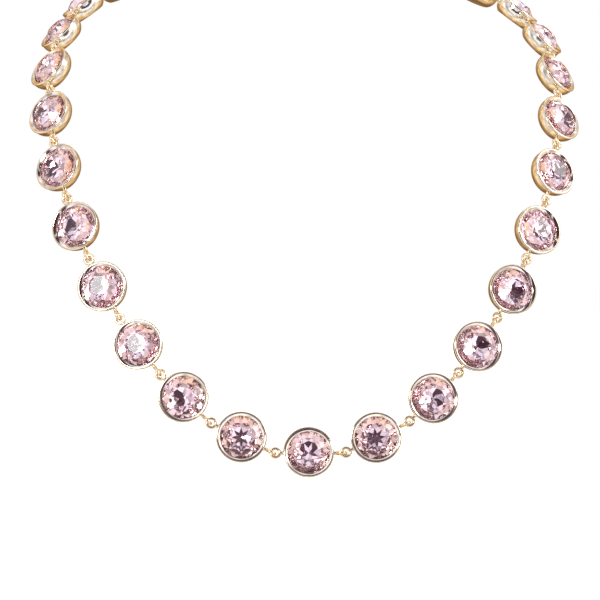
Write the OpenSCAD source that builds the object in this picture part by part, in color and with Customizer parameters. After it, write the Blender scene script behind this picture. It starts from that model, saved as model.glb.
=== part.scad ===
// A riviere necklace: one closed row of round cut stones, each in a rolled-rim cup.
// The cups are linked ring to loop, and the row hangs in the curve it takes on a neck.
// Millimetres. +X is the viewer's right, +Y runs from the chest to the nape, +Z is up.
// The origin is where the clasp's inner side rests on the nape.

/* [Stones] */
// Width of a stone across its girdle
stone_d = 11; // [9:0.5:13]
// Width of a stone's flat table, corner to corner
table_d = 4.9; // [3.5:0.1:6.5]
// Height of the crown, from the girdle to the table
crown_h = 2.4; // [1.4:0.1:2.8]
// Thickness of the girdle
girdle_h = 0.25; // [0.1:0.05:0.5]
// Depth of the pavilion, from the girdle to its point
pavilion_h = 2.6; // [1.2:0.1:3.2]

/* [Settings] */
// Thickness of the cup's side wall
wall = 0.55; // [0.25:0.05:0.7]
// Thickness of the cup's closed back
back_wall = 0.4; // [0.3:0.05:0.8]
// Width of the cup's flat back
back_d = 8.8; // [6:0.2:9]
// Thickness of the rim's rolled outer edge
crest_d = 0.7; // [0.4:0.05:0.9]
// How far the rolled edge stands out past the side wall
rim_out = 0.15; // [0.1:0.05:0.5]
// Thickness of the rim's inner lip
lip_d = 0.25; // [0.2:0.05:0.4]
// How far the lip lies below the rolled edge
lip_drop = 0.3; // [0.1:0.05:0.5]
// How far the lip reaches over the stone
lip_over = 0.35; // [0.1:0.05:0.5]

/* [Links] */
// Distance from one joint of the chain to the next
pitch = 17.45; // [16.5:0.05:22]
// Outer width of a link's ring or loop
ring_d = 3.1; // [3:0.1:4]
// Thickness of the links' wire
wire_d = 0.9; // [0.5:0.05:0.9]
// Thickness of the short stem that a ring or loop stands on
stem_d = 1; // [0.5:0.05:1.2]
// How far the links lie behind the top of the rim
link_drop = 1.75; // [0.9:0.05:2.5]

/* [Clasp] */
// Distance between the clasp's two joints
clasp_l = 24; // [14:1:34]
// Thickness of the clasp's barrel
clasp_d = 4.4; // [3:0.2:6]

/* [Fits] */
// Gap between a stone's girdle and the wall round it
stone_gap = 0.1; // [0.05:0.01:0.15]
// Gap between a stone's crown and the rim's lip over it
lip_gap = 0.08; // [0.05:0.01:0.15]
// Gap between a stone's point and the cup's floor
point_gap = 0.1; // [0.05:0.01:0.2]
// Gap between the wires of two linked rings
link_gap = 0.15; // [0.1:0.01:0.25]

/* [Hidden] */
// Settings on each side of the lowest one.
HALF_COUNT = 13;
COUNT = 2 * HALF_COUNT + 1;

// The row's right half, from the lowest setting up and round to the clasp. The points are
// chosen by hand.
X = 0;
ROUTE = [
    // x, y, z
    [0, -98, -135],
    [25, -97.5, -126],
    [47, -91, -101],
    [61, -81, -71],
    [67, -62.5, -41.5],
    [64, -36.5, -19.5],
    [46, -12, -5],
    [0, 0, 0],
];
SPANS = len(ROUTE) - 1;
// At each of those points, the angle by which the stones' faces turn about the chain from
// facing straight forward: under 0 looks up, and about 135 faces out from the nape.
LEAN_ANGLES = [-15, -4, 6, 21, 36, 62, 94, 135];

// Facets run round a stone in eight equal sectors.
SECTORS = 8;
SECTOR = 360 / SECTORS;
HALF_SECTOR = SECTOR / 2;
// How far the star facets reach from the table's corners towards the girdle.
STAR_REACH = 0.55;
// How far the pavilion's main facets reach in from the girdle before they meet.
KEEL_REACH = 0.24;
// Each stone is turned a little from the last one, as they are when set by hand.
STONE_TURN = 19;
// The share of a round's radius at which the rim's bevel meets it. Just inside the round, the
// two outlines cross cleanly instead of only touching.
MEET_AT = 0.96;

FRONT = [0, -1, 0];
METAL = [0.90, 0.76, 0.60];
CRYSTAL = [0.87, 0.66, 0.75];
// Fragments of a full circle on the cups, and on what is small in section.
$fn = 64;
SMALL_FN = 32;

// The searches for joints halve their range this many times.
HALVINGS = 22;
// The first joint and each next one lie within this many rows of where the search starts.
FIRST_WITHIN = 1.5;
NEXT_WITHIN = 1.2;
// The search may run this far past the route's last row.
ROUTE_PAST = 0.9;
// The least and most that the route may be scaled to close the row.
SIZE_LEAST = 0.5;
SIZE_MOST = 2;

// The stone's own radii and heights, from the top of its girdle.
stone_r = stone_d / 2;
table_r = table_d / 2;
star_r = table_r + STAR_REACH * (stone_r - table_r);
keel_r = KEEL_REACH * stone_r;
main_slope = crown_h / (stone_r - table_r);
star_h = (stone_r - star_r * cos(HALF_SECTOR)) * main_slope;
keel_h = pavilion_h * (1 - keel_r * cos(HALF_SECTOR) / stone_r);

// The cup's radii.
side_r = stone_r + stone_gap + wall;
rim_r = side_r + rim_out;
lip_r = stone_r - lip_over;
crest_r = crest_d / 2;
crest_x = rim_r - crest_r;
lip_round = lip_d / 2;
lip_x = lip_r + lip_round;
back_r = back_d / 2;

// Heights in a setting, where 0 is the line of the chain.
rim_z = link_drop;
crest_z = rim_z - crest_r;
lip_z = rim_z - lip_drop - lip_round;
// The steepest edge of the crown passes under the lip at its own gap.
crown_rise = atan2(star_h, stone_r - star_r);
lip_in = lip_x - stone_r;
seat_drop = (lip_round + lip_gap - lip_in * sin(crown_rise)) / cos(crown_rise);
girdle_z = lip_z - seat_drop;
floor_z = girdle_z - girdle_h - pavilion_h - point_gap;
back_z = floor_z - back_wall;

// The cup's side is upright round the girdle, then curves in by one arc to the flat back.
side_z = girdle_z - girdle_h;
side_h = side_z - back_z;
side_in = side_r - back_r;
side_arc = (side_in * side_in + side_h * side_h) / (2 * side_in);
side_x = side_r - side_arc;

// A ring and a loop cross at a joint, each one's far wire a little past it.
wire_r = wire_d / 2;
ring_r = ring_d / 2 - wire_r;
link_past = (wire_d + link_gap) / 2;

function two_digits(i) = i < 10 ? str("0", i) : str(i);
function setting_name(i) = str("setting_", two_digits(i));
function stone_name(i) = str("stone_", two_digits(i));

function unit(v) = v / norm(v);
// A plain number, such as an angle of lean, is its own mirror image.
function mirrored(v) = is_list(v) ? [for (c = [0 : len(v) - 1]) c == X ? -v[c] : v[c]] : v;
function on_circle(r, turn, z) = [r * cos(turn), r * sin(turn), z];

// The value where a rising function passes zero.
function crossing(f, low, high, steps = HALVINGS) =
    let (middle = (low + high) / 2)
    steps == 0 ? middle
    : f(middle) > 0 ? crossing(f, low, middle, steps - 1)
    : crossing(f, middle, high, steps - 1);

// The rows of a table, carried on past both ends by their mirror images.
function row_of(table, i) =
    i < 0 ? mirrored(table[-i])
    : i > SPANS ? mirrored(table[2 * SPANS - i])
    : table[i];

// A smooth curve through the rows, where whole numbers of u are the rows themselves.
function curve_at(table, u) =
    let (
        i = min(floor(u), SPANS),
        t = u - i,
        before = row_of(table, i - 1),
        from = row_of(table, i),
        to = row_of(table, i + 1),
        after = row_of(table, i + 2),
        curve = 2 * before - 5 * from + 4 * to - after,
        twist = 3 * from - before - 3 * to + after
    )
    (2 * from + (to - before) * t + curve * t * t + twist * t * t * t) / 2;
function route_at(u) = curve_at(ROUTE, u);
function lean_at(u) = curve_at(LEAN_ANGLES, u);

// The joints on the curve, a straight step apart, from the lowest setting's round to the clasp's.
function first_joint(step) =
    crossing(function(u) route_at(u)[X] - step / 2, 0, FIRST_WITHIN);
function next_joint(u, step) =
    let (here = route_at(u), furthest = min(u + NEXT_WITHIN, SPANS + ROUTE_PAST))
    crossing(function(v) norm(route_at(v) - here) - step, u, furthest);
function joints_from(u, step, left) =
    left == 0 ? [u] : concat([u], joints_from(next_joint(u, step), step, left - 1));
function joints_at(step) = joints_from(first_joint(step), step, HALF_COUNT);
function last_of(list) = list[len(list) - 1];

// The curve is made larger or smaller until the row and its clasp just close it.
route_size = crossing(
    function(size) size * route_at(last_of(joints_at(pitch / size)))[X] - clasp_l / 2,
    SIZE_LEAST,
    SIZE_MOST
);
joints = joints_at(pitch / route_size);

// The faces' direction for a stretch of chain that runs along the given line.
function facing(line, lean) =
    let (ahead = unit(FRONT - line * (FRONT * line)), up = cross(line, ahead))
    ahead * cos(lean) + up * sin(lean);

clasp_facing = facing([-1, 0, 0], last_of(LEAN_ANGLES));
clasp_middle = let (end = route_size * route_at(last_of(joints))) [0, end[1], end[2]];
to_origin = clasp_facing * clasp_d / 2 - clasp_middle;
joint_points = [for (u = joints) route_size * route_at(u) + to_origin];

// Start, end and facing of setting k steps from the lowest one, on the right side.
function right_stretch(k) =
    let (
        start = k == 0 ? mirrored(joint_points[0]) : joint_points[k - 1],
        end = joint_points[k],
        lean = k == 0 ? LEAN_ANGLES[0] : lean_at((joints[k - 1] + joints[k]) / 2)
    )
    [start, end, facing(unit(end - start), lean)];

// The same for any setting, numbered from the clasp's left side round to its right side.
function stretch(i) =
    let (side = i - HALF_COUNT - 1, right = right_stretch(abs(side)))
    side >= 0 ? right : [mirrored(right[1]), mirrored(right[0]), mirrored(right[2])];

clasp_stretch = [last_of(joint_points), mirrored(last_of(joint_points)), clasp_facing];

// Lays its children on a stretch of the chain: X along it, Z the way the stones face.
module on_stretch(s) {
    along = unit(s[1] - s[0]);
    face = s[2];
    across = cross(face, along);
    middle = (s[0] + s[1]) / 2;
    multmatrix([
        [along[0], across[0], face[0], middle[0]],
        [along[1], across[1], face[1], middle[1]],
        [along[2], across[2], face[2], middle[2]],
        [0, 0, 0, 1],
    ])
        children();
}

// The cup's filled outline, drawn inwards from its side by an inset.
module bowl_outline(inset, low_z) {
    intersection() {
        union() {
            translate([side_x, side_z])
                circle(r = side_arc - inset, $fn = 2 * $fn);
            translate([0, low_z])
                square([back_r - inset, crest_z - low_z]);
            translate([0, side_z])
                square([side_r - inset, crest_z - side_z]);
        }
        translate([0, low_z])
            square([side_r - inset, crest_z - low_z]);
    }
}

// The rim's section: a rolled outer edge, and a flat bevel down to a thin round lip.
module rim_outline() {
    crest = [crest_x, crest_z];
    lip = [lip_x, lip_z];
    bevel = crest - lip;
    rise = atan2(bevel[1], bevel[0]);
    spread = acos((lip_round - crest_r) / norm(bevel));
    above = MEET_AT * [cos(rise + spread), sin(rise + spread)];
    below = MEET_AT * [cos(rise - spread), sin(rise - spread)];
    translate(crest)
        circle(r = crest_r, $fn = SMALL_FN);
    translate(lip)
        circle(r = lip_round, $fn = SMALL_FN);
    polygon([
        lip + lip_round * above,
        crest + crest_r * above,
        crest + crest_r * below,
        lip + lip_round * below,
    ]);
}

module cup() {
    rotate_extrude(convexity = 6) {
        difference() {
            bowl_outline(0, back_z);
            bowl_outline(wall, floor_z);
        }
        rim_outline();
    }
}

// A wire ring that reaches just past the joint at x = reach, on a stem from x = root.
module link(reach, root) {
    ring_x = reach + link_past - ring_r;
    translate([ring_x, 0, 0])
        rotate_extrude()
            translate([ring_r, 0])
                circle(r = wire_r, $fn = SMALL_FN);
    stem_end = ring_x - ring_r;
    translate([root, 0, 0])
        rotate([0, 90, 0])
            cylinder(h = stem_end - root, d = stem_d, $fn = SMALL_FN);
}

// A link at each end: a ring that lies flat at the start, and a loop on edge at the end.
module both_links(reach, root) {
    rotate([0, 0, 180])
        link(reach, root);
    rotate([90, 0, 0])
        link(reach, root);
}

module setting(i) {
    color(METAL)
        on_stretch(stretch(i)) {
            cup();
            both_links(pitch / 2, side_r - wall / 2);
        }
}

// The stone's corners, ring by ring from the table down, and its facets, corner by corner.
function corners() = concat(
    [for (s = [0 : SECTORS - 1]) on_circle(table_r, s * SECTOR, crown_h)],
    [for (s = [0 : SECTORS - 1]) on_circle(star_r, s * SECTOR + HALF_SECTOR, star_h)],
    [for (s = [0 : 2 * SECTORS - 1]) on_circle(stone_r, s * HALF_SECTOR, 0)],
    [for (s = [0 : 2 * SECTORS - 1]) on_circle(stone_r, s * HALF_SECTOR, -girdle_h)],
    [for (s = [0 : SECTORS - 1]) on_circle(keel_r, s * SECTOR + HALF_SECTOR, -girdle_h - keel_h)],
    [[0, 0, -girdle_h - pavilion_h]]
);
function table_at(s) = s % SECTORS;
function star_at(s) = SECTORS + (s + SECTORS) % SECTORS;
function girdle_at(g) = 2 * SECTORS + g % (2 * SECTORS);
function under_at(g) = 4 * SECTORS + g % (2 * SECTORS);
function keel_at(s) = 6 * SECTORS + (s + SECTORS) % SECTORS;
POINT_AT = len(corners()) - 1;

// The facets of one sector, each seen clockwise from outside.
function sector_facets(s) = [
    // star
    [table_at(s), star_at(s), table_at(s + 1)],
    // kite
    [table_at(s), star_at(s - 1), girdle_at(2 * s), star_at(s)],
    // upper halves
    [star_at(s), girdle_at(2 * s), girdle_at(2 * s + 1)],
    [star_at(s), girdle_at(2 * s + 1), girdle_at(2 * s + 2)],
    // girdle
    [girdle_at(2 * s), under_at(2 * s), under_at(2 * s + 1), girdle_at(2 * s + 1)],
    [girdle_at(2 * s + 1), under_at(2 * s + 1), under_at(2 * s + 2), girdle_at(2 * s + 2)],
    // lower halves
    [under_at(2 * s), keel_at(s), under_at(2 * s + 1)],
    [under_at(2 * s + 1), keel_at(s), under_at(2 * s + 2)],
    // pavilion main
    [under_at(2 * s), keel_at(s - 1), POINT_AT, keel_at(s)],
];
function clockwise(facet) = [for (c = [len(facet) - 1 : -1 : 0]) facet[c]];

module cut_stone() {
    table = [for (s = [0 : SECTORS - 1]) table_at(s)];
    facets = [for (s = [0 : SECTORS - 1]) each sector_facets(s)];
    polyhedron(points = corners(), faces = [for (f = concat([table], facets)) clockwise(f)]);
}

module stone(i) {
    color(CRYSTAL)
        on_stretch(stretch(i))
            translate([0, 0, girdle_z])
                rotate([0, 0, i * STONE_TURN])
                    cut_stone();
}

// A plain barrel with domed ends, and the same ring and loop as a setting has.
module clasp() {
    joint_to_rim = pitch / 2 - rim_r;
    barrel_end = clasp_l / 2 - joint_to_rim;
    barrel_r = clasp_d / 2;
    color(METAL)
        on_stretch(clasp_stretch) {
            rotate([0, 90, 0])
                cylinder(h = 2 * (barrel_end - barrel_r), r = barrel_r, center = true);
            for (side = [-1, 1])
                translate([side * (barrel_end - barrel_r), 0, 0])
                    rotate([0, 90, 0])
                        sphere(r = barrel_r);
            both_links(clasp_l / 2, barrel_end - barrel_r);
        }
}

for (i = [1 : COUNT]) {
    setting(i);
    stone(i);
}
clasp();
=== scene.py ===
# %% [markdown]
# # A riviere necklace
# A riviere is one closed row of round cut stones. Each stone sits in its own rolled-rim cup, and
# the cups are linked ring to loop, so the row bends like a chain. The CAD model gives every
# solid its place and size. This lesson dresses them: camera and studio first, then the metal and
# the crystal, then the settings, the stones and the clasp.

import math

import bmesh
import bpy
from mathutils import Matrix, Vector


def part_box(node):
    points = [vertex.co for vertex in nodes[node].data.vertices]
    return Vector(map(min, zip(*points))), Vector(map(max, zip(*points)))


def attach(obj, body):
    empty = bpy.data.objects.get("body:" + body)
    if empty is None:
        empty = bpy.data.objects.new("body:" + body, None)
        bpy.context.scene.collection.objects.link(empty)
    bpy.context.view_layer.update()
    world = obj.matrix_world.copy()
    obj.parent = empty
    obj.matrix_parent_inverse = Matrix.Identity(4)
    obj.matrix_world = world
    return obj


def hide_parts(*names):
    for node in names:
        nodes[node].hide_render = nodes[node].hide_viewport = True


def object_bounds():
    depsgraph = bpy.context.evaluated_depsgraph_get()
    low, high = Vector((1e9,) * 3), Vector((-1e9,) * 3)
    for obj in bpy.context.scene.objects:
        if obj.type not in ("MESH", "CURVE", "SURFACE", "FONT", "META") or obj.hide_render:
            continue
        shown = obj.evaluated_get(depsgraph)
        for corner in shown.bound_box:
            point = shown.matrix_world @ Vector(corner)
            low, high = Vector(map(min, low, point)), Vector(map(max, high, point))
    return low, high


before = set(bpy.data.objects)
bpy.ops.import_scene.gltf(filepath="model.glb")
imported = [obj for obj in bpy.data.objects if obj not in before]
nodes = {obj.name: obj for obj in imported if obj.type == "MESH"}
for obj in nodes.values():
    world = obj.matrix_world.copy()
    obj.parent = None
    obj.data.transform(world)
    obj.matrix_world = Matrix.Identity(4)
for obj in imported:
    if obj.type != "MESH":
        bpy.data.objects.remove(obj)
cad_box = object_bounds()
MM = 0.001
print("CAD nodes loaded:", len(nodes))


# %% [markdown]
# The photograph was taken from the front with a long lens, nearly level with the middle of the
# hanging row. A long lens keeps the stones at the sides of the neck almost as large as those in
# front. A camera could be aimed with a constraint, but plain numbers keep it free to be moved.

# %% Place the camera
CAMERA_AT = Vector((-21.63, -594.99, -94.23)) * MM
CAMERA_TURN = math.radians(-2.21)
CAMERA_ROLL = math.radians(0.40)
LENS_MM = 121.95
SENSOR_MM = 36

camera_data = bpy.data.cameras.new("camera")
camera_data.lens = LENS_MM
camera_data.sensor_width = SENSOR_MM
camera = bpy.data.objects.new("camera", camera_data)
bpy.context.scene.collection.objects.link(camera)
camera.matrix_world = (
    Matrix.Translation(CAMERA_AT)
    @ Matrix.Rotation(CAMERA_TURN, 4, "Z")
    @ Matrix.Rotation(math.radians(90), 4, "X")
    @ Matrix.Rotation(CAMERA_ROLL, 4, "Z")
)
bpy.context.scene.camera = camera
bpy.context.scene.view_settings.view_transform = "Standard"
print("camera field of view, degrees:", round(math.degrees(camera_data.angle), 2))


# %% [markdown]
# Light goes into a foil-backed stone and bounces many times before it leaves. Each bounce that
# the renderer leaves out would turn a bright facet grey, so it is allowed more than usual.

# %% Allow the light enough bounces
BOUNCES = 24

for kind in ("max_bounces", "glossy_bounces", "transmission_bounces"):
    setattr(bpy.context.scene.cycles, kind, BOUNCES)
print("bounces allowed:", BOUNCES)


# %% [markdown]
# Shaders and Geometry Nodes are both trees of nodes. They read best when one small helper adds
# a node, gives its inputs and links it. A colour is written as the hex value that a picture
# editor shows, and one function turns it into the linear numbers that the renderer works with.

# %% Helpers for nodes and colours
WHITE = "#FFFFFF"


def linear(hex_colour):
    """The linear RGBA of an sRGB hex colour."""
    parts = [int(hex_colour[i:i + 2], 16) / 255 for i in (1, 3, 5)]
    flat = [c / 12.92 if c <= 0.04045 else ((c + 0.055) / 1.055) ** 2.4 for c in parts]
    return (*flat, 1.0)


def add(tree, kind, inputs=None, **settings):
    """Adds a node. An input takes a value, a socket, a node's first output, or a list of them."""
    node = tree.nodes.new(kind)
    for name, value in settings.items():
        setattr(node, name, value)
    for key, given in (inputs or {}).items():
        for source in given if isinstance(given, list) else [given]:
            if isinstance(source, bpy.types.Node):
                source = source.outputs[0]
            if isinstance(source, bpy.types.NodeSocket):
                tree.links.new(source, node.inputs[key])
            else:
                node.inputs[key].default_value = source
    return node


def new_material(name):
    """An empty node material and its tree."""
    material = bpy.data.materials.new(name)
    material.use_nodes = True
    material.node_tree.nodes.clear()
    return material, material.node_tree


print("white as linear numbers:", linear(WHITE))


# %% [markdown]
# Polished metal and cut glass show little but what stands round them, so the studio is the
# larger half of their look. Jewels are photographed in a white tent: soft white on every side,
# with one dark opening at the front for the camera. That opening draws the thin dark line on
# each rim and the plum facets in each stone. The colours run outwards from the opening's
# middle, in degrees.

# %% Hang the white tent
BANDS = [
    (1, "#422E35"), (25.5, "#422E35"), (28.5, "#FFFFFF"), (30, "#FFFFFF"), (33, "#54424A"),
    (46, "#54424A"), (49, "#FFFFFF"), (62, "#FFFFFF"), (66, "#CCC0B7"), (78, "#CCC0B7"),
    (82, "#FFFFFF"), (88, "#FFF6EA"), (100, "#F6E2C0"), (118, "#E2BE8C"),
    (140, "#A27A4C"), (179, "#76583A"),
]
OPENING_AT = (3, 16)


def direction(azimuth, elevation):
    """A unit vector. Azimuth 0 is towards the viewer, and 90 is to the viewer's right."""
    a, e = math.radians(azimuth), math.radians(elevation)
    return Vector((math.sin(a) * math.cos(e), -math.cos(a) * math.cos(e), math.sin(e)))


world = bpy.data.worlds.new("white_tent")
bpy.context.scene.world = world
world.use_nodes = True
tent = world.node_tree
tent.nodes.clear()
seen = add(tent, "ShaderNodeTexCoord").outputs["Generated"]
ahead = add(tent, "ShaderNodeVectorMath", {0: seen, 1: direction(*OPENING_AT)},
            operation="DOT_PRODUCT")
angle = add(tent, "ShaderNodeMath", {0: ahead.outputs["Value"]}, operation="ARCCOSINE")
share = add(tent, "ShaderNodeMath", {0: angle, 1: math.pi}, operation="DIVIDE")
bands = add(tent, "ShaderNodeValToRGB", {0: share})
stops = bands.color_ramp.elements
for degrees, colour in BANDS:
    stops.new(degrees / 180).color = linear(colour)
stops.remove(stops[0])
stops.remove(stops[-1])
print("bands in the tent:", len(stops))


# %% [markdown]
# The cloth hangs in soft folds, some of them lit cool by the window side and some warm by the
# lamps. Soft noise stands in for the folds. The camera itself sees only the white cloth behind.

# %% Fold the cloth and light it
TENT = 1.70
SHADE_FOLDS, HUE_FOLDS = 3.0, 1.6
SHADE_EDGES, HUE_EDGES = (0.35, 0.65), (0.4, 0.6)
FOLD_SHADE = 0.5
COOL, WARM = "#EEF3FF", "#FCFAF8"
BACKDROP = 1.0

deep, wide = [add(tent, "ShaderNodeTexNoise", {"Vector": seen, "Scale": scale, "Detail": 1.0})
              for scale in (SHADE_FOLDS, HUE_FOLDS)]
shade = add(tent, "ShaderNodeMapRange", {
    "Value": deep, "From Min": SHADE_EDGES[0], "From Max": SHADE_EDGES[1],
    "To Min": FOLD_SHADE, "To Max": 1.0})
glow = add(tent, "ShaderNodeMapRange", {
    "Value": wide, "From Min": HUE_EDGES[0], "From Max": HUE_EDGES[1]})
hue = add(tent, "ShaderNodeMix", {
    "Factor": glow, "A": linear(COOL), "B": linear(WARM)}, data_type="RGBA")
dyed = add(tent, "ShaderNodeMix", {"Factor": 1.0, "A": bands, "B": hue.outputs["Result"]},
           data_type="RGBA", blend_type="MULTIPLY")
strength = add(tent, "ShaderNodeMath", {0: shade, 1: TENT}, operation="MULTIPLY")
cloth = add(tent, "ShaderNodeBackground", {"Color": dyed.outputs["Result"], "Strength": strength})
backdrop = add(tent, "ShaderNodeBackground", {"Color": linear(WHITE), "Strength": BACKDROP})
is_camera = add(tent, "ShaderNodeLightPath").outputs["Is Camera Ray"]
both = add(tent, "ShaderNodeMixShader", {0: is_camera, 1: cloth, 2: backdrop})
add(tent, "ShaderNodeOutputWorld", {"Surface": both})
print("nodes in the tent:", len(tent.nodes))


# %% [markdown]
# Two soft boxes stand outside the tent. The small bright one on the left puts the white glare on
# two tables and a pale wedge in others. The broad one on the right lights the far side's rims.
# A lamp's power is its brightness times pi times its area, so a box can be made larger and stay
# as bright.

# %% Set up the soft boxes
ROW_MIDDLE = Vector((0, -70, -75)) * MM
BOX_DISTANCE = 1.5
BOXES = [
    # name, azimuth and elevation in degrees, width and height in metres, brightness, colour
    ("left_box", -29, 15, 0.45, 0.36, 13.0, WHITE),
    ("right_box", 76, 26, 0.8, 0.6, 5.0, WHITE),
]


def soft_box(name, azimuth, elevation, width, height, brightness, colour):
    """A rectangular lamp that faces the necklace and is seen only in reflections."""
    data = bpy.data.lights.new(name, "AREA")
    data.shape = "RECTANGLE"
    data.size, data.size_y = width, height
    data.energy = brightness * math.pi * width * height
    data.color = linear(colour)[:3]
    light = bpy.data.objects.new(name, data)
    bpy.context.scene.collection.objects.link(light)
    away = direction(azimuth, elevation)
    turn = away.to_track_quat("Z", "Y").to_matrix().to_4x4()
    light.matrix_world = Matrix.Translation(ROW_MIDDLE + away * BOX_DISTANCE) @ turn
    light.visible_camera = False


for box in BOXES:
    soft_box(*box)
print("soft boxes:", len(BOXES))


# %% [markdown]
# The floor is plain matt white board. It lies well below the row, as the photograph shows the
# row hanging clear of any floor, and for that reason the metal and the stones don't mirror it.
# It glows a little, as a lit board does, so that it melts into the white cloth behind.

# %% Lay the floor
FLOOR_DROP = 60 * MM
FLOOR_HALF = 20.0
FLOOR_GLOW = 0.8
BOARD_WHITE = "#FAFAFA"
BOARD_ROUGHNESS = 0.9

floor_z = cad_box[0].z - FLOOR_DROP
corners = [(-1, -1), (1, -1), (1, 1), (-1, 1)]
floor_mesh = bpy.data.meshes.new("floor")
floor_points = [(x * FLOOR_HALF, y * FLOOR_HALF, floor_z) for x, y in corners]
floor_mesh.from_pydata(floor_points, [], [(0, 1, 2, 3)])
floor = bpy.data.objects.new("floor", floor_mesh)
bpy.context.scene.collection.objects.link(floor)
board, tree = new_material("white_board_matt")
board_shader = add(tree, "ShaderNodeBsdfPrincipled", {
    "Base Color": linear(BOARD_WHITE),
    "Roughness": BOARD_ROUGHNESS,
    "Emission Color": linear(WHITE),
    "Emission Strength": FLOOR_GLOW,
})
add(tree, "ShaderNodeOutputMaterial", {"Surface": board_shader})
floor_mesh.materials.append(board)
floor.visible_glossy = False
floor.visible_transmission = False
print("floor at", round(floor_z / MM, 1), "mm")


# %% [markdown]
# The settings are cast brass with a thin plate of pale rose gold. The plate is a little uneven,
# so its colour drifts over a few millimetres. On the crest of the rim it has worn in patches,
# and the warmer brass begins to show. The links are drawn wire of a yellower gold. Every pattern
# is laid in the setting's own millimetres, so it sits on the metal.

# %% Mix the colours of the rose gold
DRIFT_PER_MM = 0.16
WEAR_PER_MM = 1.3
PLATE = ("#F0EADE", "#ECE6DA")
BARE_BRASS = "#D9B88C"
WIRE_GOLD = "#FAEACB"

gold, tree = new_material("rose_gold_plate_polished")
place_mm = add(tree, "ShaderNodeAttribute", attribute_name="place_mm").outputs["Vector"]
drift = add(tree, "ShaderNodeTexNoise", {
    "Vector": place_mm, "Scale": DRIFT_PER_MM, "Detail": 2.0})
plate = add(tree, "ShaderNodeMix", {
    "Factor": drift, "A": linear(PLATE[0]), "B": linear(PLATE[1])}, data_type="RGBA")
worn = add(tree, "ShaderNodeAttribute", attribute_name="worn").outputs["Fac"]
patches = add(tree, "ShaderNodeTexNoise", {
    "Vector": place_mm, "Scale": WEAR_PER_MM, "Detail": 4.0})
wear = add(tree, "ShaderNodeMath", {0: worn, 1: patches}, operation="MULTIPLY")
cup_metal = add(tree, "ShaderNodeMix", {
    "Factor": wear, "A": plate.outputs["Result"], "B": linear(BARE_BRASS)}, data_type="RGBA")
wire = add(tree, "ShaderNodeAttribute", attribute_name="wire").outputs["Fac"]
metal = add(tree, "ShaderNodeMix", {
    "Factor": wire, "A": cup_metal.outputs["Result"], "B": linear(WIRE_GOLD)}, data_type="RGBA")
print("colours in the rose gold:", *PLATE, BARE_BRASS, WIRE_GOLD)


# %% [markdown]
# The cups are polished on a felt wheel, which leaves fine hairlines round the rim. The cast
# surface under the plate waves a little, and that bends each reflection. The wire is only
# tumbled, so it is rougher and glows softly. Real hairlines lie some hundredths of a millimetre
# apart, too fine to show here. These lie seven to the millimetre.

# %% Polish the rose gold
HAIRLINES_PER_MM = 7.0
HAIRLINE_STRETCH = 0.04
HAIRLINE_HEIGHT_MM = 0.0004
WAVES_PER_MM = 0.55
WAVE_HEIGHT_MM = 0.004
POLISH = (0.06, 0.16)
TUMBLED = 0.10

round_mm = add(tree, "ShaderNodeAttribute", attribute_name="round_mm").outputs["Vector"]
along_hair = add(tree, "ShaderNodeVectorMath", {0: round_mm, 1: (HAIRLINE_STRETCH, 1, 1)},
                 operation="MULTIPLY")
hairlines = add(tree, "ShaderNodeTexNoise", {
    "Vector": along_hair, "Scale": HAIRLINES_PER_MM, "Detail": 3.0})
haze = add(tree, "ShaderNodeMapRange", {
    "Value": hairlines, "To Min": POLISH[0], "To Max": POLISH[1]})
rough = add(tree, "ShaderNodeMath", {0: wire, 1: TUMBLED, 2: haze}, operation="MULTIPLY_ADD")
waves = add(tree, "ShaderNodeTexNoise", {
    "Vector": place_mm, "Scale": WAVES_PER_MM, "Detail": 1.0})
waved = add(tree, "ShaderNodeBump", {"Height": waves, "Distance": WAVE_HEIGHT_MM * MM})
scratched = add(tree, "ShaderNodeBump", {
    "Height": hairlines, "Distance": HAIRLINE_HEIGHT_MM * MM, "Normal": waved})
gold_shader = add(tree, "ShaderNodeBsdfPrincipled", {
    "Base Color": metal.outputs["Result"],
    "Metallic": 1.0,
    "Roughness": rough,
    "Normal": scratched,
})
add(tree, "ShaderNodeOutputMaterial", {"Surface": gold_shader})
print("gold polished to a roughness of", POLISH)


# %% [markdown]
# The stones are pink crystal, which is lead glass: clear, strongly refracting, and polished so
# well that only a trace of haze is left. The marks of the polishing are too fine to see, so they
# are drawn 0.4 mm apart.

# %% Make the crystal
CRYSTAL_PINK = "#FFEFF3"
CRYSTAL_IOR = 1.55
CRYSTAL_HAZE = 0.006
POLISH_MARKS_PER_MM = 2.5
MARKS_FROM = 0.5

crystal, tree = new_material("rose_crystal_cut")
place_mm = add(tree, "ShaderNodeAttribute", attribute_name="place_mm").outputs["Vector"]
marks = add(tree, "ShaderNodeTexNoise", {
    "Vector": place_mm, "Scale": POLISH_MARKS_PER_MM, "Detail": 3.0})
haze = add(tree, "ShaderNodeMapRange", {
    "Value": marks, "From Min": MARKS_FROM, "To Max": CRYSTAL_HAZE})
crystal_shader = add(tree, "ShaderNodeBsdfPrincipled", {
    "Base Color": linear(CRYSTAL_PINK),
    "Roughness": haze,
    "Transmission Weight": 1.0,
    "IOR": CRYSTAL_IOR,
})
add(tree, "ShaderNodeOutputMaterial", {"Surface": crystal_shader})
print("crystal of refractive index", CRYSTAL_IOR)


# %% [markdown]
# The backs of the stones are coated with silver foil. Seen from inside the glass, the foil is a
# mirror, and the light that crosses the glass several times comes back a deeper pink each time.
# The foil is brushed on in lacquer, so it ripples slightly.

# %% Make the foil behind the crystal
FOIL_LACQUER = ("#F2E2E7", "#FAF0F2")
FOIL_RIPPLES_PER_MM = 0.7
FOIL_RIPPLE_MM = 0.01
FOIL_POLISH = (0.01, 0.05)

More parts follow.
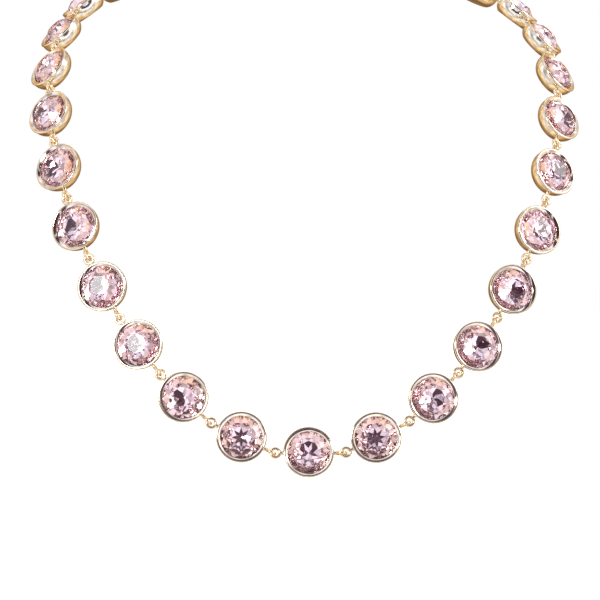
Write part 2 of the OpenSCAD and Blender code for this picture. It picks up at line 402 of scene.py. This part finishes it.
foil, tree = new_material("silver_foil_back")
place_mm = add(tree, "ShaderNodeAttribute", attribute_name="place_mm").outputs["Vector"]
ripples = add(tree, "ShaderNodeTexNoise", {
    "Vector": place_mm, "Scale": FOIL_RIPPLES_PER_MM, "Detail": 2.0})
lacquer = add(tree, "ShaderNodeMix", {
    "Factor": ripples, "A": linear(FOIL_LACQUER[0]), "B": linear(FOIL_LACQUER[1])},
    data_type="RGBA")
haze = add(tree, "ShaderNodeMapRange", {
    "Value": ripples, "To Min": FOIL_POLISH[0], "To Max": FOIL_POLISH[1]})
rippled = add(tree, "ShaderNodeBump", {"Height": ripples, "Distance": FOIL_RIPPLE_MM * MM})
foil_shader = add(tree, "ShaderNodeBsdfPrincipled", {
    "Base Color": lacquer.outputs["Result"],
    "Metallic": 1.0,
    "Roughness": haze,
    "Normal": rippled,
})
add(tree, "ShaderNodeOutputMaterial", {"Surface": foil_shader})
print("materials:", [m.name for m in (gold, crystal, foil)])


# %% [markdown]
# Each setting's place is read from the CAD model, so the dressed pieces can't drift from it.
# The stone's table is its widest flat facet, and it faces the way that the setting faces. The
# CAD mesh is all triangles, so those that face the same way are added up first.

# %% Find the way that a stone faces
SAME_WAY = 0.9999


def facets_of(node):
    """Each triangle of a CAD node as its area, its direction and its middle."""
    return [(p.area, p.normal.copy(), p.center.copy()) for p in node.data.polygons]


def table_of(node):
    """The direction and the middle of the widest flat facet of a cut stone."""
    groups = []
    for area, normal, middle in facets_of(node):
        for group in groups:
            if group[0].dot(normal) > SAME_WAY:
                group[1] += area
                group[2] += middle * area
                break
        else:
            groups.append([normal, area, middle * area])
    normal, area, total = max(groups, key=lambda g: g[1])
    return normal.normalized(), total / area


front_way = table_of(nodes["stone_14"])[0]
print("the lowest stone faces", [round(part, 2) for part in front_way])


# %% [markdown]
# What reaches furthest from the setting's axis is its ring on one side and its loop on the
# other, and the one that lies flatter is the ring. Between them runs the line of the chain.

# %% Measure where each setting sits
COUNT = 27
LINK_ZONE = 7.4 * MM


def links_of(node, facing, middle):
    """The middles of the flat ring's end and of the upright loop's end."""
    facets = []
    for area, normal, centre in facets_of(node):
        out = centre - middle
        facets.append((area, centre, out - facing * out.dot(facing)))
    furthest = max((out for area, centre, out in facets), key=lambda out: out.length)
    ends = []
    for side in (furthest, -furthest):
        zone = [(area, centre) for area, centre, out in facets
                if out.length > LINK_ZONE and out.dot(side) > 0]
        centre = sum((c * area for area, c in zone), Vector()) / sum(area for area, c in zone)
        height = max(abs((c - centre).dot(facing)) for area, c in zone)
        ends.append((height, centre))
    return min(ends, key=lambda e: e[0])[1], max(ends, key=lambda e: e[0])[1]


def place_of(node, facing, middle):
    """The setting's own axes: X along the chain, Z the way it faces, 0 on the chain's line."""
    ring, loop = links_of(node, facing, middle)
    along = loop - ring
    along = (along - facing * along.dot(facing)).normalized()
    turn = Matrix((along, facing.cross(along), facing)).transposed().to_4x4()
    return Matrix.Translation((ring + loop) / 2) @ turn


places = []
heights = []
for number in range(1, COUNT + 1):
    facing, table_middle = table_of(nodes[f"stone_{number:02d}"])
    places.append(place_of(nodes[f"setting_{number:02d}"], facing, table_middle))
    heights.append((table_middle - places[-1].translation).dot(facing) / MM)
print("tables above the chain's line, mm:", round(min(heights), 3), "to", round(max(heights), 3))


# %% [markdown]
# Geometry Nodes build what repeats and what follows a rule. A tree is made here in the script,
# its sizes are named inputs, and what it makes is baked to a plain mesh that needs no modifier.
# Baking may leave an empty material slot in front of the real one, which is taken out.

# %% Helpers for Geometry Nodes
SOCKETS = {
    "number": "NodeSocketFloat",
    "whole": "NodeSocketInt",
    "object": "NodeSocketObject",
    "material": "NodeSocketMaterial",
}


def new_geometry_tree(name, inputs):
    """A Geometry Nodes tree with named inputs, and its input and output nodes."""
    tree = bpy.data.node_groups.new(name, "GeometryNodeTree")
    tree.interface.new_socket("Geometry", in_out="INPUT", socket_type="NodeSocketGeometry")
    for label, kind in inputs.items():
        tree.interface.new_socket(label, in_out="INPUT", socket_type=SOCKETS[kind])
    tree.interface.new_socket("Geometry", in_out="OUTPUT", socket_type="NodeSocketGeometry")
    return tree, tree.nodes.new("NodeGroupInput"), tree.nodes.new("NodeGroupOutput")


def baked(tree, values, name):
    """Runs a tree with values for its named inputs, and gives what it makes as a plain mesh."""
    blank = bpy.data.objects.new("blank", bpy.data.meshes.new("blank"))
    bpy.context.scene.collection.objects.link(blank)
    modifier = blank.modifiers.new(tree.name, "NODES")
    modifier.node_group = tree
    for item in tree.interface.items_tree:
        if item.in_out == "INPUT" and item.name in values:
            modifier[item.identifier] = values[item.name]
    made = blank.evaluated_get(bpy.context.evaluated_depsgraph_get())
    mesh = bpy.data.meshes.new_from_object(made)
    mesh.name = name
    for slot in reversed(range(len(mesh.materials))):
        if mesh.materials[slot] is None:
            mesh.materials.pop(index=slot)
    bpy.data.objects.remove(blank)
    return mesh


print("kinds of input:", ", ".join(SOCKETS))


# %% [markdown]
# A cup is as round as if it came off a lathe, so the model is turned: half of its section is
# drawn once, and a tree swings it about the axis. The rim is rolled at its outer edge. From that
# crest a flat bevel runs down and in to a thin lip that holds the stone. The outline starts at
# the middle of the back and ends at the middle of the floor, so the turned shape is closed.

# %% Draw the cup's outline
SIDE_R = 6.15 * MM
BACK_R = 4.4 * MM
RIM_R = 6.3 * MM
LIP_R = 5.15 * MM
RIM_Z = 1.75 * MM
CREST_ROUND = 0.35 * MM
LIP_ROUND = 0.125 * MM
LIP_DROP = 0.3 * MM
SIDE_Z = 0.572 * MM
BACK_Z = -2.528 * MM
FLOOR_Z = -2.128 * MM
WALL = 0.55 * MM
HOLLOW_SHARE = 0.7
LIP_END = 260
SIDE_STEPS, ROLL_STEPS, LIP_STEPS, HOLLOW_STEPS = 12, 14, 6, 6


def arc(x, z, radius, start, end, steps):
    """Points on an arc, from one angle to another in degrees."""
    turns = [math.radians(start + (end - start) * i / steps) for i in range(steps + 1)]
    return [(x + radius * math.cos(t), z + radius * math.sin(t)) for t in turns]


def cup_outline():
    """The cup's section: along the back, up the side, over the rim, in and down to the floor."""
    side_h, side_in = SIDE_Z - BACK_Z, SIDE_R - BACK_R
    side_arc = (side_in ** 2 + side_h ** 2) / (2 * side_in)
    low = -math.degrees(math.asin(side_h / side_arc))
    side = arc(SIDE_R - side_arc, SIDE_Z, side_arc, low, 0, SIDE_STEPS)
    crest = (RIM_R - CREST_ROUND, RIM_Z - CREST_ROUND)
    lip = (LIP_R + LIP_ROUND, RIM_Z - LIP_DROP - LIP_ROUND)
    run, rise = crest[0] - lip[0], crest[1] - lip[1]
    narrowing = math.asin((CREST_ROUND - LIP_ROUND) / math.hypot(run, rise))
    square_to_bevel = 90 + math.degrees(math.atan2(rise, run) + narrowing)
    under = -math.degrees(math.acos((SIDE_R - crest[0]) / CREST_ROUND))
    roll = arc(*crest, CREST_ROUND, under, square_to_bevel, ROLL_STEPS)
    lip_roll = arc(*lip, LIP_ROUND, square_to_bevel, LIP_END, LIP_STEPS)
    inside = [(SIDE_R - WALL, lip[1] - LIP_ROUND)]
    hollow_end = low * HOLLOW_SHARE
    hollow = arc(SIDE_R - side_arc, SIDE_Z, side_arc - WALL, 0, hollow_end, HOLLOW_STEPS)
    floor_line = [(BACK_R - WALL, FLOOR_Z), (0, FLOOR_Z)]
    return [(0, BACK_Z)] + side + roll + lip_roll + inside + hollow + floor_line


def outline_object(name, points):
    """An outline in the XZ plane as an object that a tree can read."""
    mesh = bpy.data.meshes.new(name)
    edges = [(i, i + 1) for i in range(len(points) - 1)]
    mesh.from_pydata([(x, 0, z) for x, z in points], edges, [])
    return bpy.data.objects.new(name, mesh)


cup_line = outline_object("cup_outline", cup_outline())
print("points in the cup's outline:", len(cup_line.data.vertices))


# %% [markdown]
# The lathe works on a flat grid with a row of points for each step of the turn. Every point
# looks up its place on the outline and is swung round the axis, and the seam and the poles are
# merged.

# %% Nodes that turn an outline
AROUND = 72
MERGE = 1e-6


def lathe(tree, outline, around):
    """Turns an outline about Z."""
    line = add(tree, "GeometryNodeObjectInfo", {"Object": outline}).outputs["Geometry"]
    count = add(tree, "GeometryNodeAttributeDomainSize", {0: line}).outputs["Point Count"]
    rows = add(tree, "ShaderNodeMath", {0: around, 1: 1.0}, operation="ADD")
    grid = add(tree, "GeometryNodeMeshGrid", {"Vertices X": rows, "Vertices Y": count})
    index = add(tree, "GeometryNodeInputIndex")
    row = add(tree, "ShaderNodeMath", {0: index, 1: count}, operation="DIVIDE")
    whole_row = add(tree, "ShaderNodeMath", {0: row}, operation="FLOOR")
    step = add(tree, "ShaderNodeMath", {0: index, 1: count}, operation="MODULO")
    drawn = add(tree, "GeometryNodeSampleIndex", {
        "Geometry": line, "Value": add(tree, "GeometryNodeInputPosition"), "Index": step},
        data_type="FLOAT_VECTOR", domain="POINT")
    part_turn = add(tree, "ShaderNodeMath", {0: whole_row, 1: around}, operation="DIVIDE")
    angle = add(tree, "ShaderNodeMath", {0: part_turn, 1: 2 * math.pi}, operation="MULTIPLY")
    turned = add(tree, "ShaderNodeVectorRotate", {"Vector": drawn, "Angle": angle},
                 rotation_type="Z_AXIS")
    bent = add(tree, "GeometryNodeSetPosition", {"Geometry": grid, "Position": turned})
    return add(tree, "GeometryNodeMergeByDistance", {"Geometry": bent, "Distance": MERGE})


print("steps round a cup:", AROUND)


# %% [markdown]
# A link is a ring of round wire, soldered on by a short stem. One circle swept round another
# makes the ring. The stem is a rod with one end inside the cup's wall and the other inside the
# ring's wire. Both are marked as wire, so that the gold can differ there.

# %% Nodes for a wire link
RING_STEPS = 44
WIRE_STEPS = 16
STEM_STEPS = 24
QUARTER = math.pi / 2


def wire_link(tree, middle, ring_radius, wire_radius, stem_radius, root):
    """A ring of round wire that lies flat, on a short stem from the cup."""
    path, section = [add(tree, "GeometryNodeCurvePrimitiveCircle", {
        "Resolution": steps, "Radius": radius})
        for steps, radius in ((RING_STEPS, ring_radius), (WIRE_STEPS, wire_radius))]
    ring = add(tree, "GeometryNodeCurveToMesh", {"Curve": path, "Profile Curve": section})
    reach = add(tree, "ShaderNodeCombineXYZ", {"X": middle})
    ring_there = add(tree, "GeometryNodeTransform", {"Geometry": ring, "Translation": reach})
    near = add(tree, "ShaderNodeMath", {0: middle, 1: ring_radius}, operation="SUBTRACT")
    length = add(tree, "ShaderNodeMath", {0: near, 1: root}, operation="SUBTRACT")
    stem = add(tree, "GeometryNodeMeshCylinder", {
        "Vertices": STEM_STEPS, "Radius": stem_radius, "Depth": length})
    stem_middle = add(tree, "ShaderNodeMath", {0: length, 1: 0.5, 2: root},
                      operation="MULTIPLY_ADD")
    stem_at = add(tree, "ShaderNodeCombineXYZ", {"X": stem_middle})
    stem_there = add(tree, "GeometryNodeTransform", {
        "Geometry": stem, "Translation": stem_at, "Rotation": (0, QUARTER, 0)})
    link = add(tree, "GeometryNodeJoinGeometry", {0: [ring_there, stem_there]})
    return add(tree, "GeometryNodeStoreNamedAttribute", {
        "Geometry": link, "Name": "wire", "Value": 1.0}, data_type="FLOAT", domain="POINT")


print("steps round a ring:", RING_STEPS, "and round its wire:", WIRE_STEPS)


# %% [markdown]
# While the parts are still flat and upright, each point keeps its own place in millimetres, and
# its place unrolled round the axis, for the patterns in the gold. It also keeps how worn it is,
# which falls off just below the crest. The metal is shaded smooth between its sharp creases.

# %% Nodes that keep each point's place
CREASE = math.radians(35)
WORN_DEPTH_MM = 0.12


def finished(tree, geometry, crest_z):
    """Smooth between its creases, with its places kept for the gold's patterns."""
    place = add(tree, "GeometryNodeInputPosition")
    place_mm = add(tree, "ShaderNodeVectorMath", {0: place, "Scale": 1 / MM}, operation="SCALE")
    x, y, z = add(tree, "ShaderNodeSeparateXYZ", {0: place_mm}).outputs[:3]
    turn = add(tree, "ShaderNodeMath", {0: y, 1: x}, operation="ARCTAN2")
    across = add(tree, "ShaderNodeVectorMath", {0: place_mm, 1: (1, 1, 0)}, operation="MULTIPLY")
    radius = add(tree, "ShaderNodeVectorMath", {0: across}, operation="LENGTH").outputs["Value"]
    unrolled = add(tree, "ShaderNodeMath", {0: turn, 1: radius}, operation="MULTIPLY")
    round_mm = add(tree, "ShaderNodeCombineXYZ", {"X": unrolled, "Y": radius, "Z": z})
    below = add(tree, "ShaderNodeMath", {0: crest_z / MM, 1: z}, operation="SUBTRACT")
    worn = add(tree, "ShaderNodeMapRange", {
        "Value": below, "From Max": WORN_DEPTH_MM, "To Min": 1.0, "To Max": 0.0})
    for name, value, kind in (
            ("place_mm", place_mm, "FLOAT_VECTOR"),
            ("round_mm", round_mm, "FLOAT_VECTOR"),
            ("worn", worn, "FLOAT")):
        geometry = add(tree, "GeometryNodeStoreNamedAttribute", {
            "Geometry": geometry, "Name": name, "Value": value}, data_type=kind, domain="POINT")
    smooth = add(tree, "GeometryNodeSetShadeSmooth", {
        "Geometry": geometry, "Shade Smooth": True}, domain="FACE")
    bend = add(tree, "GeometryNodeInputMeshEdgeAngle").outputs["Unsigned Angle"]
    soft = add(tree, "ShaderNodeMath", {0: bend, 1: CREASE}, operation="LESS_THAN")
    return add(tree, "GeometryNodeSetShadeSmooth", {
        "Geometry": smooth, "Shade Smooth": soft}, domain="EDGE")


print("the plate is worn to", WORN_DEPTH_MM, "mm below the crest")


# %% [markdown]
# One setting is the turned cup with a link soldered on at each end: a ring that lies flat, and
# a loop that stands on edge to hook through the next one's ring. Each reaches a little past the
# middle of the joint. The tree takes every size by name. The wire's radius is 0.05 mm less than
# the CAD model's, so that it clears the next link at the front too, where the row bends most.

# %% Build one setting
PITCH = 17.45 * MM
RING_R = 1.1 * MM
WIRE_R = 0.40 * MM
STEM_R = 0.5 * MM
LINK_GAP = 0.25 * MM
LINK_PAST = (2 * WIRE_R + LINK_GAP) / 2
LINK_SIZES = {"Ring radius": RING_R, "Wire radius": WIRE_R, "Stem radius": STEM_R}

PIECE_INPUTS = {
    "Outline": "object", "Around": "whole", "Ring radius": "number", "Wire radius": "number",
    "Stem radius": "number", "Ring middle": "number", "Stem root": "number", "Metal": "material",
}


def linked_piece_tree(name, turn_body, crest_z):
    """A tree for a turned body with a flat ring at one end and an upright loop at the other."""
    tree, given, result = new_geometry_tree(name, PIECE_INPUTS)
    size = given.outputs
    body = lathe(tree, size["Outline"], size["Around"])
    if turn_body:
        body = add(tree, "GeometryNodeTransform", {"Geometry": body, "Rotation": (0, QUARTER, 0)})
    link = wire_link(tree, size["Ring middle"], size["Ring radius"], size["Wire radius"],
                     size["Stem radius"], size["Stem root"])
    ends = [add(tree, "GeometryNodeTransform", {"Geometry": link, "Rotation": turn})
            for turn in ((0, 0, 2 * QUARTER), (QUARTER, 0, 0))]
    whole = add(tree, "GeometryNodeJoinGeometry", {0: [body] + ends})
    real = add(tree, "GeometryNodeRealizeInstances", {0: finished(tree, whole, crest_z)})
    plated = add(tree, "GeometryNodeSetMaterial", {"Geometry": real, "Material": size["Metal"]})
    tree.links.new(plated.outputs[0], result.inputs[0])
    return tree


setting_mesh = baked(linked_piece_tree("one_setting", False, RIM_Z), {
    "Outline": cup_line, "Around": AROUND, "Metal": gold, **LINK_SIZES,
    "Ring middle": PITCH / 2 + LINK_PAST - RING_R, "Stem root": SIDE_R - WALL / 2}, "one_setting")
print("one setting:", len(setting_mesh.polygons), "faces")


# %% [markdown]
# A cutter grinds a stone flat by flat on a wheel, each facet at an angle and a turn of its own.
# The model is ground in the same way: a round blank is cut by one plane after another, and each
# cut leaves one flat facet. The crown has a table, eight stars, eight kites and sixteen halves.
# The stone's sizes are plain millimetres, and the finished stone is scaled to metres.

# %% Plan the crown
STONE_R = 5.5
TABLE_R = 2.45
CROWN_H = 2.4
STAR_REACH = 0.58
SECTORS = 8
HALF = math.pi / SECTORS


def on_ring(radius, halves, height):
    """A corner at so many half sectors round the stone."""
    return Vector((radius * math.cos(halves * HALF), radius * math.sin(halves * HALF), height))


def crown_planes():
    """The crown's facets as planes, each a direction and a point on it."""
    star_r = TABLE_R + STAR_REACH * (STONE_R - TABLE_R)
    star_h = (STONE_R - star_r * math.cos(HALF)) * CROWN_H / (STONE_R - TABLE_R)
    planes = [(Vector((0, 0, 1)), Vector((0, 0, CROWN_H)))]
    for k in range(0, 2 * SECTORS, 2):
        corner, next_corner = on_ring(TABLE_R, k, CROWN_H), on_ring(TABLE_R, k + 2, CROWN_H)
        star, last_star = on_ring(star_r, k + 1, star_h), on_ring(star_r, k - 1, star_h)
        low = [on_ring(STONE_R, k + i, 0) for i in range(3)]
        for a, b, c in (
                (corner, star, next_corner), (corner, last_star, low[0]),
                (star, low[0], low[1]), (star, low[1], low[2])):
            across = (b - a).cross(c - a).normalized()
            planes.append((across if across.z > 0 else -across, a))
    return planes


print("facets on the crown:", len(crown_planes()))


# %% [markdown]
# The back is cut in rings that grow steeper outwards. Its eight flattest facets meet at the
# point, and they show the dark opening of the tent as a star under the table.

# %% Plan the back
GIRDLE_H = 0.25
BACK_TIERS = [
    # facets, turn in facets, slope in degrees, the radius where it starts
    (8, 0.5, 12.0, 0.00),
    (8, 0, 14.8, 1.57),
    (16, 0.5, 28.0, 2.83),
    (8, 0.5, 28.5, 4.56),
]


def back_planes():
    """The back's facets as planes, and the stone's depth under its girdle."""
    planes = []
    height = 0
    down = Vector((0, 0, -1))
    starts = [start for count, turn, slope, start in BACK_TIERS] + [STONE_R]
    for (count, turn, slope, start), end in zip(BACK_TIERS, starts[1:]):
        tilt = math.radians(slope)
        for i in range(count):
            way = (i + turn) * 2 * math.pi / count
            out = Vector((math.cos(way), math.sin(way), 0))
            normal = out * math.sin(tilt) + down * math.cos(tilt)
            planes.append((normal, out * start - down * height))
        height += (end - start) * math.tan(tilt)
    lowest = Vector((0, 0, -GIRDLE_H - height))
    return [(normal, point + lowest) for normal, point in planes], height


print("facets on the back:", len(back_planes()[0]))


# %% [markdown]
# Now comes the wheel. A plane takes off all that lies outside it, the cut is closed with one
# flat face, and the face remembers whether foil will lie behind it.

# %% Grind the stone
GIRDLE_Z = 0.822
BLANK_H = 12
ON_PLANE = 1e-5


def grind(mesh, foiled, normal, point, is_back):
    """Cuts off all that lies outside a plane, and closes the cut with one flat facet."""
    everything = mesh.verts[:] + mesh.edges[:] + mesh.faces[:]
    bmesh.ops.bisect_plane(
        mesh, geom=everything, dist=ON_PLANE, plane_co=point, plane_no=normal, clear_outer=True)
    open_edges = [edge for edge in mesh.edges if edge.is_boundary]
    if open_edges:
        for facet in bmesh.ops.contextual_create(mesh, geom=open_edges)["faces"]:
            facet[foiled] = is_back


def cut_stone():
    """One cut stone in metres, with each facet marked as foiled or clear."""
    mesh = bmesh.new()
    foiled = mesh.faces.layers.int.new("foiled")
    bmesh.ops.create_cone(
        mesh, cap_ends=True, segments=4 * SECTORS, radius1=STONE_R, radius2=STONE_R, depth=BLANK_H)
    for normal, point in crown_planes():
        grind(mesh, foiled, normal, point, 0)
    planes, depth = back_planes()
    for normal, point in planes:
        grind(mesh, foiled, normal, point, 1)
    bmesh.ops.recalc_face_normals(mesh, faces=mesh.faces)
    to_metres = Matrix.Scale(MM, 4) @ Matrix.Translation((0, 0, GIRDLE_Z))
    bmesh.ops.transform(mesh, matrix=to_metres, verts=mesh.verts)
    data = bpy.data.meshes.new("one_stone")
    mesh.to_mesh(data)
    mesh.free()
    print("one stone:", len(data.polygons), "facets, back", round(depth, 2), "mm deep")
    return data


stone_mesh = cut_stone()


# %% [markdown]
# The row is a set of points, one for each setting, that carry the chain's direction and the way
# each face looks.

# %% Lay out the row
row_mesh = bpy.data.meshes.new("row")
row_mesh.from_pydata([place.translation for place in places], [], [])
for name, axis in (("along", 0), ("facing", 2)):
    kept_axis = row_mesh.attributes.new(name, "FLOAT_VECTOR", "POINT")
    for item, place in zip(kept_axis.data, places):
        item.vector = place.to_3x3().col[axis]
row = bpy.data.objects.new("row", row_mesh)
print("points in the row:", len(row_mesh.vertices))


# %% [markdown]
# A tree stands one piece on one numbered point of the row. It can turn and tilt the piece by
# chance, from a fixed seed, as no two pieces set by hand sit quite alike.

# %% Nodes that set one piece in the row
row_tree, given, result = new_geometry_tree("piece_in_row", {
    "Row": "object", "Piece": "object", "Number": "whole", "Turn": "number", "Tilt": "number",
    "Seed": "whole", "Clear": "material", "Foiled": "material"})
take = given.outputs
points = add(row_tree, "GeometryNodeObjectInfo", {"Object": take["Row"]}).outputs["Geometry"]
piece = add(row_tree, "GeometryNodeObjectInfo", {"Object": take["Piece"]}).outputs["Geometry"]
axes = [add(row_tree, "GeometryNodeInputNamedAttribute", {"Name": name}, data_type="FLOAT_VECTOR")
        for name in ("facing", "along")]
upright = add(row_tree, "FunctionNodeAxesToRotation", dict(enumerate(axes)),
              primary_axis="Z", secondary_axis="X")
by_hand = []
for offset, most in enumerate(("Tilt", "Tilt", "Turn")):
    seed = add(row_tree, "ShaderNodeMath", {0: take["Seed"], 1: offset}, operation="ADD")
    chance = add(row_tree, "FunctionNodeRandomValue", {
        "Min": -1.0, "Max": 1.0, "ID": take["Number"], "Seed": seed}, data_type="FLOAT")
    by_hand.append(add(row_tree, "ShaderNodeMath", {
        0: chance.outputs["Value"], 1: take[most]}, operation="MULTIPLY"))
turns = add(row_tree, "ShaderNodeCombineXYZ", dict(enumerate(by_hand)))
set_by_hand = add(row_tree, "FunctionNodeRotateRotation", {0: upright, 1: turns},
                  rotation_space="LOCAL")
index = add(row_tree, "GeometryNodeInputIndex")
chosen = add(row_tree, "FunctionNodeCompare", {2: index, 3: take["Number"]},
             data_type="INT", operation="EQUAL")
stood = add(row_tree, "GeometryNodeInstanceOnPoints", {
    "Points": points, "Selection": chosen, "Instance": piece, "Rotation": set_by_hand})
real = add(row_tree, "GeometryNodeRealizeInstances", {0: stood})
clear = add(row_tree, "GeometryNodeSetMaterial", {"Geometry": real, "Material": take["Clear"]})
foiled = add(row_tree, "GeometryNodeInputNamedAttribute", {"Name": "foiled"}, data_type="INT")
backed = add(row_tree, "GeometryNodeSetMaterial", {
    "Geometry": clear, "Selection": foiled, "Material": take["Foiled"]})
row_tree.links.new(backed.outputs[0], result.inputs[0])
print("nodes in the row's tree:", len(row_tree.nodes))


# %% [markdown]
# The tree runs once for each CAD node, because every dressed piece stands for one node. The
# settings come first. They are linked to each other, so chance neither turns nor tilts them.

# %% Set the settings
def set_row(kind, master, values):
    """Stands a master piece on every point of the row, as one plain object for each CAD node."""
    master_object = bpy.data.objects.new(f"one_{kind}", master)
    faces = 0
    for number in range(COUNT):
        name = f"{kind}_{number + 1:02d}"
        mesh = baked(row_tree, {
            "Row": row, "Piece": master_object, "Number": number, **values}, f"{name}_dressed")
        piece = bpy.data.objects.new(mesh.name, mesh)
        bpy.context.scene.collection.objects.link(piece)
        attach(piece, "root")
        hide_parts(name)
        faces += len(mesh.polygons)
    bpy.data.objects.remove(master_object)
    print("set in the row:", COUNT, kind, "pieces,", faces, "faces")


set_row("setting", setting_mesh, {"Clear": gold, "Foiled": gold})


# %% [markdown]
# Stones are set by hand, so each is turned by chance and sits up to about a degree out of
# level, and no two show one pattern. A stone's points keep their places too, for the marks in
# its polish and the ripples in its foil.

# %% Set the stones
STONE_TILT = math.radians(1.1)
STONE_SEED = 7

place_kept = stone_mesh.attributes.new("place_mm", "FLOAT_VECTOR", "POINT")
for item, vertex in zip(place_kept.data, stone_mesh.vertices):
    item.vector = vertex.co / MM

set_row("stone", stone_mesh, {
    "Clear": crystal, "Foiled": foil, "Turn": math.pi, "Tilt": STONE_TILT, "Seed": STONE_SEED})


# %% [markdown]
# The clasp hides on the nape. It is a barrel that screws apart at a fine seam, with a beaded
# ring at each end to grip, and the same ring and loop as the settings have. It is turned on the
# lathe as the cups are, then laid along the chain, facing up and back, away from the nape.

# %% Build the clasp
CLASP_L = 24 * MM
BARREL_R = 2.2 * MM
BARREL_END = CLASP_L / 2 - (PITCH / 2 - RIM_R)
BODY_R = 2.05 * MM
SEAM = 0.12 * MM
BEAD_R = 0.35 * MM
BEAD_AT = BARREL_END - BARREL_R - BEAD_R
CLASP_LEAN = 135
CAP_END, CAP_STEPS = 4, 12
BEAD_SWEEP, BEAD_STEPS = 80, 8

half = arc(0, BARREL_END - BARREL_R, BARREL_R, 90, CAP_END, CAP_STEPS)
half += arc(BARREL_R - BEAD_R, BEAD_AT, BEAD_R, BEAD_SWEEP, -BEAD_SWEEP, BEAD_STEPS)
half += [(BODY_R, BEAD_AT - BEAD_R), (BODY_R, SEAM), (BODY_R - SEAM, 0)]
barrel = half + [(x, -z) for x, z in reversed(half[:-1])]
barrel_line = outline_object("barrel_outline", barrel[::-1])
clasp_mesh = baked(linked_piece_tree("one_clasp", True, CLASP_L), {
    "Outline": barrel_line, "Around": AROUND, "Metal": gold, **LINK_SIZES,
    "Ring middle": CLASP_L / 2 + LINK_PAST - RING_R, "Stem root": BARREL_END - BARREL_R},
    "clasp_dressed")
low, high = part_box("clasp")
lean = math.radians(CLASP_LEAN)
along = Vector((-1, 0, 0))
facing = Vector((0, -math.cos(lean), math.sin(lean)))
turn = Matrix((along, facing.cross(along), facing)).transposed().to_4x4()
clasp_mesh.transform(Matrix.Translation((low + high) / 2) @ turn)
clasp = bpy.data.objects.new("clasp_dressed", clasp_mesh)
bpy.context.scene.collection.objects.link(clasp)
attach(clasp, "root")
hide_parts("clasp")
print("clasp:", len(clasp_mesh.polygons), "faces")


# %% [markdown]
# The CAD model's box is printed, in millimetres. The dressed necklace has to stay inside the
# CAD model's box.

# %% Print the CAD model's box
print("CAD box, mm:", [[round(x / MM, 2) for x in c] for c in cad_box])
